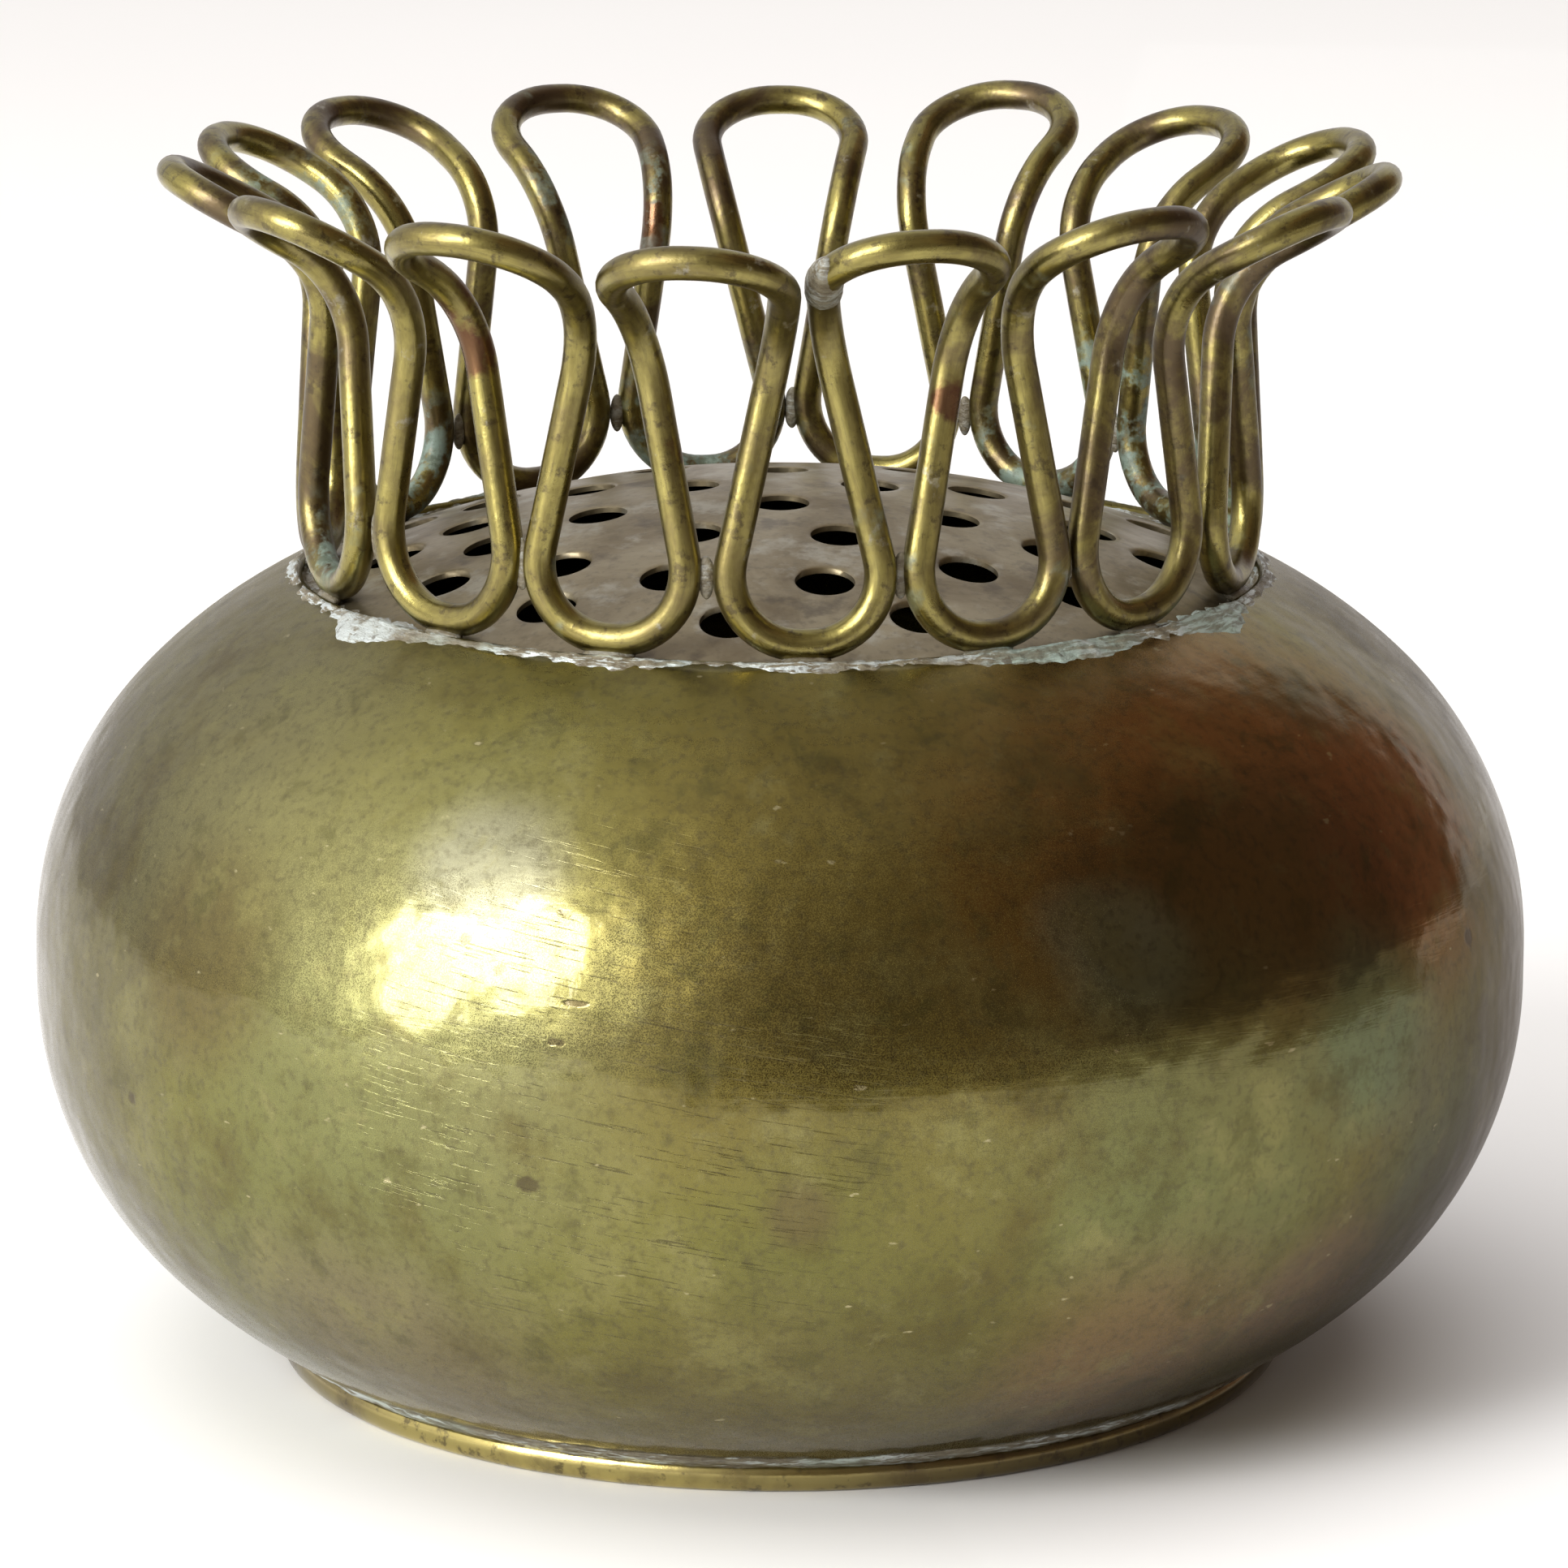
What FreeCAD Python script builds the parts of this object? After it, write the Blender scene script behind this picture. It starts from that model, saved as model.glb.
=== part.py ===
"""Globe flower frog of spun brass: a hollow bowl, a pierced disc and a looped wire crown.

Units are millimetres and +Z is up. The foot stands on z = 0, and the axis of the bowl
is the Z axis. Angles run round that axis, from the front (-Y) towards +X.
"""
import math
import os

import FreeCAD
import Part
from FreeCAD import Vector

# --- bowl: a spun shell whose outline is two tangent arcs above and below a short band
SHELL = 1.0
BOWL_RADIUS = 77.9
BAND_TOP_Z = 44.4
BAND_BOTTOM_Z = 40.4
SIDE_ARC = 39.0
SHOULDER_ARC = 55.8
SHOULDER_DEG = 46.5
RIM_RADIUS = 49.9
BASE_Z = 1.0
BASE_FILLET = 6.0

# --- pierced disc: a shallow dome set just inside the bowl's rim
DISC_RADIUS = 49.0
DISC_EDGE_Z = 82.2
DISC_RISE = 9.7
DISC_SHEET = 0.8
HOLE_DIA = 6.0
HOLE_RINGS = {
    9.3: (0, 90, 180, 270),
    20.7: (17, 57, 99, 138, 178, 218, 257, 296, 335),
    32.0: (8, 36, 59, 81, 105, 129, 153, 178, 203, 227, 252, 275, 294, 317, 340),
    40.2: (20, 48, 76, 102, 128, 154, 179, 205, 231, 256, 280, 302, 325, 353),
}

# --- crown: one wire, bent into a turn at the bottom and a loop at the top, 15 times
WIRE_DIA = 3.25
TURN_ANGLES = (3, 25, 47, 73, 96, 119, 143, 167, 190, 214, 239, 265, 290, 317, 340)
LOOP_ANGLES = (13, 36, 61, 83, 106, 131, 155, 180, 204, 230, 254, 278, 303, 329, 352)
LOOP_LIFTS = (0.4, 1.1, -0.8, -0.4, 0.0, -0.5, 0.4, -0.8, 0.0, 0.6, 0.7, 0.5, -0.2, 0.1, -0.9)
LOOP_REACHES = (-0.5, -0.6, -0.3, 0.3, 1.1, 0.2, 0.2, 0.0, -0.2, 0.7, -0.4, 0.4, -0.8, 0.2, 0.4)
TURN_RADIUS = 47.9
TURN_Z = 84.5
TURN_SPREAD = -0.3
FLARE_RADIUS = 46.7
FLARE_Z = 116.4
FLARE_TRIM = 7.0
LOOP_RADIUS = 61.6
LOOP_Z = 124.6
LOOP_HALF = 9.4
LOOP_NECK_HALF = 6.8
END_TRIM_SHARE = 0.95
JOINT_GAP = 0.3
JOINT_LOOP = 0

# --- foot ring: a half-round strip with a worn flat under it
FOOT_RADIUS = 53.5
FOOT_HEIGHT = 3.1
FOOT_INNER = 50.6
FOOT_FLAT = 52.4

# --- solder
SEAM_BEAD = 0.75
SEAM_BEAD_RADIUS = 49.6
SEAM_BEAD_Z = 82.7
FOOT_BEAD = 0.8
FOOT_BEAD_RADIUS = 53.6
FOOT_BEAD_Z = 3.3
PAD_DIA = 2.2
PAD_LENGTH = 8.0
PAD_RADIUS = 49.1
PAD_Z = 82.9
WEB_DIA = 2.3
WEB_LENGTH = 8.0
WEB_RADIUS = 48.3
WEB_Z = 91.8
SLEEVE_DIA = 4.3
SLEEVE_LENGTH = 5.0

AXIS = Vector(0, 0, 1)
ORIGIN = Vector(0, 0, 0)


def profile_point(radius, z):
    """A point in the half-plane in which every turned outline is drawn."""
    return Vector(radius, 0, z)


def polar(radius, angle_deg, z, sideways=0.0):
    """A point at an angle from the front, moved sideways along the tangent there."""
    angle = math.radians(angle_deg)
    x = radius * math.sin(angle) + sideways * math.cos(angle)
    y = -radius * math.cos(angle) + sideways * math.sin(angle)
    return Vector(x, y, z)


def spun(edges):
    """The solid made by turning a closed outline round the bowl's axis."""
    face = Part.Face(Part.Wire(Part.__sortEdges__(edges)))
    return face.revolve(ORIGIN, AXIS, 360)


def line(start, end):
    return Part.makeLine(start, end)


def arc_about(centre, radius, start_deg, end_deg):
    """An arc in the half-plane; angles are measured up from the outward direction."""
    points = []
    for share in (0.0, 0.5, 1.0):
        angle = math.radians(start_deg + share * (end_deg - start_deg))
        points.append(centre + Vector(math.cos(angle), 0, math.sin(angle)) * radius)
    return Part.Arc(*points).toShape(), points[0], points[-1]


def bowl_outline(inset):
    """Edges from the middle of the base up to the rim, moved inwards by the inset."""
    side_centre = profile_point(BOWL_RADIUS - SIDE_ARC, BAND_TOP_Z)
    low_centre = profile_point(BOWL_RADIUS - SIDE_ARC, BAND_BOTTOM_Z)
    lean = math.radians(SHOULDER_DEG)
    step = (SHOULDER_ARC - SIDE_ARC) * Vector(math.cos(lean), 0, math.sin(lean))
    top_centre = side_centre - step
    bottom_centre = low_centre - Vector(step.x, 0, -step.z)

    fillet_z = BASE_Z + BASE_FILLET
    drop = bottom_centre.z - fillet_z
    reach = math.sqrt((SHOULDER_ARC - BASE_FILLET) ** 2 - drop ** 2)
    fillet_centre = profile_point(bottom_centre.x + reach, fillet_z)
    fillet_deg = -math.degrees(math.atan2(drop, reach))
    rim_deg = math.degrees(math.acos((RIM_RADIUS - top_centre.x) / SHOULDER_ARC))

    base_end = profile_point(fillet_centre.x, BASE_Z + inset)
    fillet, _, _ = arc_about(fillet_centre, BASE_FILLET - inset, -90, fillet_deg)
    lower, _, _ = arc_about(bottom_centre, SHOULDER_ARC - inset, fillet_deg, -SHOULDER_DEG)
    low_side, _, band_start = arc_about(low_centre, SIDE_ARC - inset, -SHOULDER_DEG, 0)
    side, band_end, _ = arc_about(side_centre, SIDE_ARC - inset, 0, SHOULDER_DEG)
    shoulder, _, rim = arc_about(top_centre, SHOULDER_ARC - inset, SHOULDER_DEG, rim_deg)
    middle = profile_point(0, BASE_Z + inset)
    edges = [line(middle, base_end), fillet, lower, low_side]
    edges += [line(band_start, band_end), side, shoulder]
    return edges, middle, rim


def make_bowl():
    outer, outer_middle, outer_rim = bowl_outline(0.0)
    inner, inner_middle, inner_rim = bowl_outline(SHELL)
    return spun(outer + [line(outer_rim, inner_rim)] + inner
                + [line(inner_middle, outer_middle)])


def make_pierced_disc():
    """A shell of a sphere with an edge square to it, then pierced straight down."""
    sphere = (DISC_RADIUS ** 2 + DISC_RISE ** 2) / (2 * DISC_RISE)
    centre = profile_point(0, DISC_EDGE_Z + DISC_RISE - sphere)
    edge_deg = math.degrees(math.acos(DISC_RADIUS / sphere))
    outer, outer_edge, outer_top = arc_about(centre, sphere, edge_deg, 90)
    inner, inner_edge, inner_top = arc_about(centre, sphere - DISC_SHEET, edge_deg, 90)
    disc = spun([outer, line(outer_top, inner_top), inner, line(inner_edge, outer_edge)])
    drills = []
    for ring_radius, angles in HOLE_RINGS.items():
        for angle in angles:
            start = polar(ring_radius, angle, DISC_EDGE_Z - 5)
            drills.append(Part.makeCylinder(HOLE_DIA / 2, DISC_RISE + 10, start, AXIS))
    return disc.cut(Part.makeCompound(drills)).Solids[0]


def turn_half_widths():
    """Half the corner spacing of each turn, so that neighbours almost touch."""
    halves = []
    count = len(TURN_ANGLES)
    for i in range(count):
        two_pitches = (TURN_ANGLES[(i + 1) % count] - TURN_ANGLES[i - 1]) % 360
        halves.append(TURN_RADIUS * math.sin(math.radians(two_pitches / 4)) + TURN_SPREAD)
    return halves


def crown_corners():
    """The wire's bend points, each with the distance from it at which its bend starts."""
    corners = []
    loop_trim = END_TRIM_SHARE * LOOP_HALF
    rows = zip(TURN_ANGLES, turn_half_widths(), LOOP_ANGLES, LOOP_LIFTS, LOOP_REACHES)
    for turn_deg, half, loop_deg, lift, reach in rows:
        for side in (-half, half):
            turn = polar(TURN_RADIUS, turn_deg, TURN_Z, side)
            corners.append((turn, END_TRIM_SHARE * half))
        flare_z = FLARE_Z + lift
        loop_radius = LOOP_RADIUS + reach
        loop_z = LOOP_Z + lift
        corners += [
            (polar(FLARE_RADIUS, loop_deg, flare_z, -LOOP_NECK_HALF), FLARE_TRIM),
            (polar(loop_radius, loop_deg, loop_z, -LOOP_HALF), loop_trim),
            (polar(loop_radius, loop_deg, loop_z, LOOP_HALF), loop_trim),
            (polar(FLARE_RADIUS, loop_deg, flare_z, LOOP_NECK_HALF), FLARE_TRIM),
        ]
    return corners


def bend(before, corner, after, trim):
    """Start, middle and end of the arc that rounds one corner of the wire."""
    back = (before - corner).normalize()
    ahead = (after - corner).normalize()
    half_turn = (math.pi - back.getAngle(ahead)) / 2
    radius = trim / math.tan(half_turn)
    inwards = (back + ahead).normalize()
    centre = corner + inwards * (radius / math.cos(half_turn))
    return corner + back * trim, centre - inwards * radius, corner + ahead * trim


def crown_path():
    """Lines and tangent arcs along the wire, which starts and ends at its joint."""
    corners = crown_corners()
    count = len(corners)
    first = JOINT_LOOP * 6 + 3
    order = [(first + i) % count for i in range(count)]
    bends = []
    for i in order:
        point, trim = corners[i]
        bends.append(bend(corners[i - 1][0], point, corners[(i + 1) % count][0], trim))
    last_end = bends[-1][2]
    first_start = bends[0][0]
    middle = (last_end + first_start) * 0.5
    along = (first_start - last_end).normalize()
    cursor = middle + along * (JOINT_GAP / 2)
    joint = (middle, along)
    edges = []
    for start, mid, end in bends:
        edges.append(line(cursor, start))
        edges.append(Part.Arc(start, mid, end).toShape())
        cursor = end
    edges.append(line(cursor, middle - along * (JOINT_GAP / 2)))
    return edges, joint


def make_crown():
    edges, joint = crown_path()
    start = edges[0].Vertexes[0].Point
    section = Part.Wire(Part.makeCircle(WIRE_DIA / 2, start, joint[1]))
    crown = Part.Wire(edges).makePipeShell([section], True, False)
    return crown, joint


def make_foot_ring(bowl_filled):
    """A half-round strip, dressed to the underside of the bowl that it carries."""
    low = profile_point(FOOT_FLAT, 0)
    bulge = profile_point(FOOT_RADIUS, FOOT_HEIGHT / 2)
    high = profile_point(FOOT_FLAT, FOOT_HEIGHT)
    inner_low = profile_point(FOOT_INNER, 0)
    inner_high = profile_point(FOOT_INNER, FOOT_HEIGHT)
    ring = spun([
        line(inner_low, low),
        Part.Arc(low, bulge, high).toShape(),
        line(high, inner_high),
        line(inner_high, inner_low),
    ])
    return ring.cut(bowl_filled).Solids[0]


def make_filled_bowl():
    """The bowl without its hollow, to dress other pieces to its outside."""
    outer, middle, rim = bowl_outline(0.0)
    top = profile_point(0, rim.z)
    return spun(outer + [line(rim, top), line(top, middle)])


def bead(radius, z, bead_radius):
    return Part.makeTorus(radius, bead_radius, Vector(0, 0, z), AXIS)


def rod(centre, direction, dia, length):
    """A short rod of set solder, by its middle and the way it lies."""
    start = centre - direction * (length / 2)
    return Part.makeCylinder(dia / 2, length, start, direction)


def make_turn_pads(neighbours):
    """Solder under each turn of the wire, where it stands on the seam."""
    pads = []
    for angle in TURN_ANGLES:
        tangent = polar(0, angle, 0, 1)
        pad = rod(polar(PAD_RADIUS, angle, PAD_Z), tangent, PAD_DIA, PAD_LENGTH)
        pads.append(largest(pad.cut(neighbours)))
    return pads


def make_turn_webs(crown):
    """Solder between neighbouring turns, where the wire almost touches itself."""
    webs = []
    for i, angle in enumerate(TURN_ANGLES):
        gap = (TURN_ANGLES[(i + 1) % len(TURN_ANGLES)] - angle) % 360
        web = rod(polar(WEB_RADIUS, angle + gap / 2, WEB_Z), AXIS, WEB_DIA, WEB_LENGTH)
        webs.append(largest(web.cut(crown)))
    return webs


def make_sleeve(crown, joint):
    """Solder round the butt joint of the wire's two ends."""
    middle, along = joint
    return rod(middle, along, SLEEVE_DIA, SLEEVE_LENGTH).cut(crown)


def largest(shape):
    return max(shape.Solids, key=lambda solid: solid.Volume)


def main():
    bowl = make_bowl()
    disc = make_pierced_disc()
    crown, joint = make_crown()
    foot = make_foot_ring(make_filled_bowl())
    seam = largest(bead(SEAM_BEAD_RADIUS, SEAM_BEAD_Z, SEAM_BEAD).cut([bowl, disc]))
    foot_bead = bead(FOOT_BEAD_RADIUS, FOOT_BEAD_Z, FOOT_BEAD)
    foot_solder = largest(foot_bead.cut([make_filled_bowl(), foot]))
    nodes = {
        "bowl": bowl,
        "pierced_disc": disc,
        "crown_wire": crown,
        "foot_ring": foot,
        "seam_solder": seam,
        "foot_solder": foot_solder,
        "turn_pads": Part.makeCompound(make_turn_pads([bowl, disc, seam, crown])),
        "turn_webs": Part.makeCompound(make_turn_webs(crown)),
        "joint_solder": make_sleeve(crown, joint),
    }
    os.makedirs("parts", exist_ok=True)
    for name, shape in nodes.items():
        shape.exportStep(f"parts/{name}.step")


main()
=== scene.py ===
"""An aged brass globe flower frog: bowl, pierced disc, looped wire crown and foot ring.

Shapes are worked out in millimetres and stored in metres. Angles run round the bowl's
axis, from the front (-Y) towards +X, as in the CAD model.
"""
import math

import bpy
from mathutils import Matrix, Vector, noise
from mathutils.geometry import delaunay_2d_cdt

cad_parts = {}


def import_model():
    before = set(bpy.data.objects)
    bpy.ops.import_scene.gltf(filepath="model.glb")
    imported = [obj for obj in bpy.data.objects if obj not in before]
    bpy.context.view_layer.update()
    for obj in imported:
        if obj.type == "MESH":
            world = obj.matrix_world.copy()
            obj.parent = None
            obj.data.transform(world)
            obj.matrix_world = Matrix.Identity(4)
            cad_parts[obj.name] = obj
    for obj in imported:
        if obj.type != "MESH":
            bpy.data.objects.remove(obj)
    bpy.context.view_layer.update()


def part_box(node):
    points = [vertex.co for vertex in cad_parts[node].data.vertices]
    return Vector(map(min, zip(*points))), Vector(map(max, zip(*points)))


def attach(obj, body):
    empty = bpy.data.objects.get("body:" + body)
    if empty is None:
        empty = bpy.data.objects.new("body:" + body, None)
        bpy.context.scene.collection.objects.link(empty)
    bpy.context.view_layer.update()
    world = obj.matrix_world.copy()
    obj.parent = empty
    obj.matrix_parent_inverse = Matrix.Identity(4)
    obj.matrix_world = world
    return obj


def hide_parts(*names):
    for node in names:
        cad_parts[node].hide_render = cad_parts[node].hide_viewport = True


MM = 0.001

# --- bowl outline
SHELL = 1.0
BOWL_RADIUS = 77.9
BAND_TOP_Z = 44.4
BAND_BOTTOM_Z = 40.4
SIDE_ARC = 39.0
SHOULDER_ARC = 55.8
SHOULDER_DEG = 46.5
RIM_RADIUS = 49.9
BASE_Z = 1.0
BASE_FILLET = 6.0
BOWL_SEGMENTS = 240

# --- pierced disc
DISC_RADIUS = 49.0
DISC_EDGE_Z = 82.2
DISC_RISE = 9.7
DISC_SHEET = 0.8
HOLE_RADIUS = 3.0
HOLE_SEGMENTS = 36
DISC_SEGMENTS = 240
GRID_SPACING = 2.0
HOLE_RINGS = {
    9.3: (0, 90, 180, 270),
    20.7: (17, 57, 99, 138, 178, 218, 257, 296, 335),
    32.0: (8, 36, 59, 81, 105, 129, 153, 178, 203, 227, 252, 275, 294, 317, 340),
    40.2: (20, 48, 76, 102, 128, 154, 179, 205, 231, 256, 280, 302, 325, 353),
}

# --- crown wire
WIRE_RADIUS = 1.625
TURN_ANGLES = (3, 25, 47, 73, 96, 119, 143, 167, 190, 214, 239, 265, 290, 317, 340)
LOOP_ANGLES = (13, 36, 61, 83, 106, 131, 155, 180, 204, 230, 254, 278, 303, 329, 352)
LOOP_LIFTS = (0.4, 1.1, -0.8, -0.4, 0.0, -0.5, 0.4, -0.8, 0.0, 0.6, 0.7, 0.5, -0.2, 0.1, -0.9)
LOOP_REACHES = (-0.5, -0.6, -0.3, 0.3, 1.1, 0.2, 0.2, 0.0, -0.2, 0.7, -0.4, 0.4, -0.8, 0.2, 0.4)
TURN_RADIUS = 47.9
TURN_Z = 84.5
TURN_SPREAD = -0.3
FLARE_RADIUS = 46.7
FLARE_Z = 116.4
FLARE_TRIM = 7.0
LOOP_RADIUS = 61.6
LOOP_Z = 124.6
LOOP_HALF = 9.4
LOOP_NECK_HALF = 6.8
END_TRIM_SHARE = 0.95
JOINT_GAP = 0.3
JOINT_CORNER = 3
WIRE_SIDES = 20
FLAT_DEPTH = 0.02

# --- foot ring
FOOT_RADIUS = 53.5
FOOT_HEIGHT = 3.1
FOOT_INNER = 50.6
FOOT_FLAT = 52.4
FOOT_SEGMENTS = 300

# --- solder: how far the hidden underside of a run lies below the surface, then its drops
SOLDER_DEPTH = 0.45
SEAM_SEGMENTS = 1500
FOOT_RUN_SEGMENTS = 1000
PAD_RADIUS = 48.6
PAD_Z = 83.0
PAD_HALF_SIZES = (2.7, 1.5, 0.8)
PAD_SLOPE = 0.35
WEB_RADIUS = 48.1
WEB_Z = 91.2
WEB_HALF_WIDTH = 0.8
WEB_HALF_DEPTH = 0.5
WEB_HALF_HEIGHT = 2.3
JOINT_PROUD = 0.25
JOINT_HALF_LENGTH = 6.0

# --- camera
CAMERA_DISTANCE = 0.675
CAMERA_RISE_DEG = 13.1
CAMERA_TARGET = Vector((0.0004, 0.0, 0.0596))
CAMERA_LENS = 148.0


# ------------------------------------------------------------------ geometry helpers

def polar(radius, angle_deg, z, sideways=0.0):
    """A point at an angle from the front, moved sideways along the tangent there."""
    angle = math.radians(angle_deg)
    x = radius * math.sin(angle) + sideways * math.cos(angle)
    y = -radius * math.cos(angle) + sideways * math.sin(angle)
    return Vector((x, y, z))


def wobble(point, size, seed=0.0):
    """Smooth noise between about -1 and 1 that changes over a length of size mm."""
    return noise.noise(point / size + Vector((seed, seed * 0.7, -seed)))


def mesh_piece(name, points, faces, material, replaced=()):
    """A smooth mesh from points in mm, riding on the one body."""
    mesh = bpy.data.meshes.new(name)
    mesh.from_pydata([point * MM for point in points], [], faces)
    mesh.validate()
    mesh.shade_smooth()
    mesh.materials.append(material)
    piece = bpy.data.objects.new(name, mesh)
    bpy.context.scene.collection.objects.link(piece)
    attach(piece, "root")
    if replaced:
        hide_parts(*replaced)
    return piece


def arc(centre, radius, start_deg, end_deg, step_deg=2.0):
    """Points (radius, z) on an arc; angles are measured up from the outward direction."""
    count = max(2, math.ceil(abs(end_deg - start_deg) / step_deg))
    points = []
    for i in range(count + 1):
        angle = math.radians(start_deg + (end_deg - start_deg) * i / count)
        points.append((centre[0] + radius * math.cos(angle),
                       centre[1] + radius * math.sin(angle)))
    return points


def turned(outline, segments, move, closed=True):
    """Points and faces of an outline of (radius, z) turned round the axis.

    move(point, outline_index) returns the point where hand work has left it.
    """
    points, faces, rings = [], [], []
    for index, (radius, z) in enumerate(outline):
        if radius < 1e-6:
            rings.append([len(points)] * segments)
            points.append(move(Vector((0, 0, z)), index))
            continue
        rings.append(list(range(len(points), len(points) + segments)))
        for k in range(segments):
            points.append(move(polar(radius, 360 * k / segments, z), index))
    pairs = list(zip(rings, rings[1:]))
    if closed:
        pairs.append((rings[-1], rings[0]))
    for low, high in pairs:
        for k in range(segments):
            after = (k + 1) % segments
            corners = [low[k], low[after], high[after], high[k]]
            face = list(dict.fromkeys(corners))
            if len(face) > 2:
                faces.append(face)
    return points, faces


# ------------------------------------------------------------------ bowl and foot

def bowl_outline(inset):
    """(radius, z) from the middle of the base up to the rim, moved in by the inset."""
    side_centre = (BOWL_RADIUS - SIDE_ARC, BAND_TOP_Z)
    lean = math.radians(SHOULDER_DEG)
    step = SHOULDER_ARC - SIDE_ARC
    top_centre = (side_centre[0] - step * math.cos(lean), BAND_TOP_Z - step * math.sin(lean))
    bottom_centre = (top_centre[0], BAND_BOTTOM_Z + step * math.sin(lean))
    fillet_z = BASE_Z + BASE_FILLET
    drop = bottom_centre[1] - fillet_z
    reach = math.sqrt((SHOULDER_ARC - BASE_FILLET) ** 2 - drop ** 2)
    fillet_centre = (bottom_centre[0] + reach, fillet_z)
    fillet_deg = -math.degrees(math.atan2(drop, reach))
    rim_deg = math.degrees(math.acos((RIM_RADIUS - top_centre[0]) / SHOULDER_ARC))

    points = [(radius, BASE_Z + inset) for radius in range(0, 46, 3)]
    points += arc(fillet_centre, BASE_FILLET - inset, -90, fillet_deg, 8.0)
    points += arc(bottom_centre, SHOULDER_ARC - inset, fillet_deg, -SHOULDER_DEG)[1:]
    points += arc((side_centre[0], BAND_BOTTOM_Z), SIDE_ARC - inset, -SHOULDER_DEG, 0)[1:]
    points += arc(side_centre, SIDE_ARC - inset, 0, SHOULDER_DEG)
    points += arc(top_centre, SHOULDER_ARC - inset, SHOULDER_DEG, rim_deg)[1:]
    return points


def dented_depth(point):
    """How far raising and handling have pushed the wall in; it is never pushed out."""
    return 0.09 * (wobble(point, 26, 3.0) + 1) + 0.04 * (wobble(point, 11, 8.0) + 1)


def dented(point, _index):
    flat = Vector((point.x, point.y, 0))
    if flat.length < 20:
        return point
    return point - flat.normalized() * dented_depth(point)


def make_bowl(material):
    outer = bowl_outline(0.0)
    inner = bowl_outline(SHELL)
    points, faces = turned(outer + inner[::-1], BOWL_SEGMENTS, dented, closed=False)
    return mesh_piece("bowl_shell", points, faces, material, ("bowl",))


def bowl_height(radius):
    """Height of the bowl's underside above the table, at a radius near the foot."""
    outline = bowl_outline(0.0)
    for (r0, z0), (r1, z1) in zip(outline, outline[1:]):
        if r0 <= radius <= r1 and z1 < BAND_BOTTOM_Z:
            return z0 + (z1 - z0) * (radius - r0) / (r1 - r0)
    return BASE_Z


def make_foot_ring(material):
    """A half-round strip that follows the bowl's underside."""
    outline = [(FOOT_INNER, 0.0), (FOOT_FLAT, 0.0)]
    bulge = FOOT_RADIUS - FOOT_FLAT
    for i in range(1, 12):
        angle = math.pi * (i / 12 - 0.5)
        outline.append((FOOT_FLAT + bulge * math.cos(angle),
                        FOOT_HEIGHT / 2 * (1 + math.sin(angle))))
    outline += [(FOOT_FLAT, bowl_height(FOOT_FLAT)), (FOOT_INNER, bowl_height(FOOT_INNER))]

    def wear_and_highlight(point, index):
        if 1 < index < len(outline) - 2:
            point = point * (1 - 0.0016 * (wobble(point, 7, 5.0) + 1))
        return point

    points, faces = turned(outline, FOOT_SEGMENTS, wear_and_highlight)
    return mesh_piece("foot_strip", points, faces, material, ("foot_ring",))


# ------------------------------------------------------------------ pierced disc

def disc_top(radius):
    sphere = (DISC_RADIUS ** 2 + DISC_RISE ** 2) / (2 * DISC_RISE)
    return DISC_EDGE_Z + DISC_RISE - sphere + math.sqrt(sphere ** 2 - radius ** 2)


def hole_centres():
    for ring_radius, angles in HOLE_RINGS.items():
        for angle in angles:
            yield polar(ring_radius, angle, 0)


def circle(centre, radius, count):
    turns = [2 * math.pi * k / count for k in range(count)]
    return [centre + Vector((radius * math.cos(t), radius * math.sin(t), 0)) for t in turns]


def on_metal(spots, triangles):
    """The triangles that lie on the disc and in none of its holes."""
    centres = [centre.xy for centre in hole_centres()]
    kept = []
    for triangle in triangles:
        middle = sum((spots[i] for i in triangle), Vector((0, 0))) / 3
        in_hole = any((middle - c).length < HOLE_RADIUS for c in centres)
        if not in_hole and middle.length < DISC_RADIUS:
            kept.append(triangle)
    return kept


def disc_plan():
    """The disc's flat pattern: its points and its triangles."""
    points, loops = [], []
    for centre in hole_centres():
        for radius in (HOLE_RADIUS, HOLE_RADIUS + 0.15, HOLE_RADIUS + 0.5):
            ring = circle(centre, radius, HOLE_SEGMENTS)
            loops.append(list(range(len(points), len(points) + len(ring))))
            points += ring
    for radius in (DISC_RADIUS, DISC_RADIUS - 0.4):
        ring = circle(Vector((0, 0, 0)), radius, DISC_SEGMENTS)
        loops.append(list(range(len(points), len(points) + len(ring))))
        points += ring
    reach = int(DISC_RADIUS / GRID_SPACING)
    for row in range(-reach, reach + 1):
        for column in range(-reach, reach + 1):
            across = column + 0.5 * (row % 2)
            spot = Vector((across * GRID_SPACING, row * GRID_SPACING, 0))
            clear = all((spot - c).length > HOLE_RADIUS + 1.2 for c in hole_centres())
            if clear and spot.length < DISC_RADIUS - 1.2:
                points.append(spot)
    edges = []
    for loop in loops:
        edges += list(zip(loop, loop[1:] + loop[:1]))
    flat = [point.xy for point in points]
    found, _, triangles, _, _, _ = delaunay_2d_cdt(flat, edges, [], 0, 1e-6)
    return found, on_metal(found, triangles)


def boundary_edges(triangles):
    """Directed edges that only one triangle uses."""
    used = set()
    for a, b, c in triangles:
        used |= {(a, b), (b, c), (c, a)}
    return [(a, b) for a, b in used if (b, a) not in used]


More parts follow.
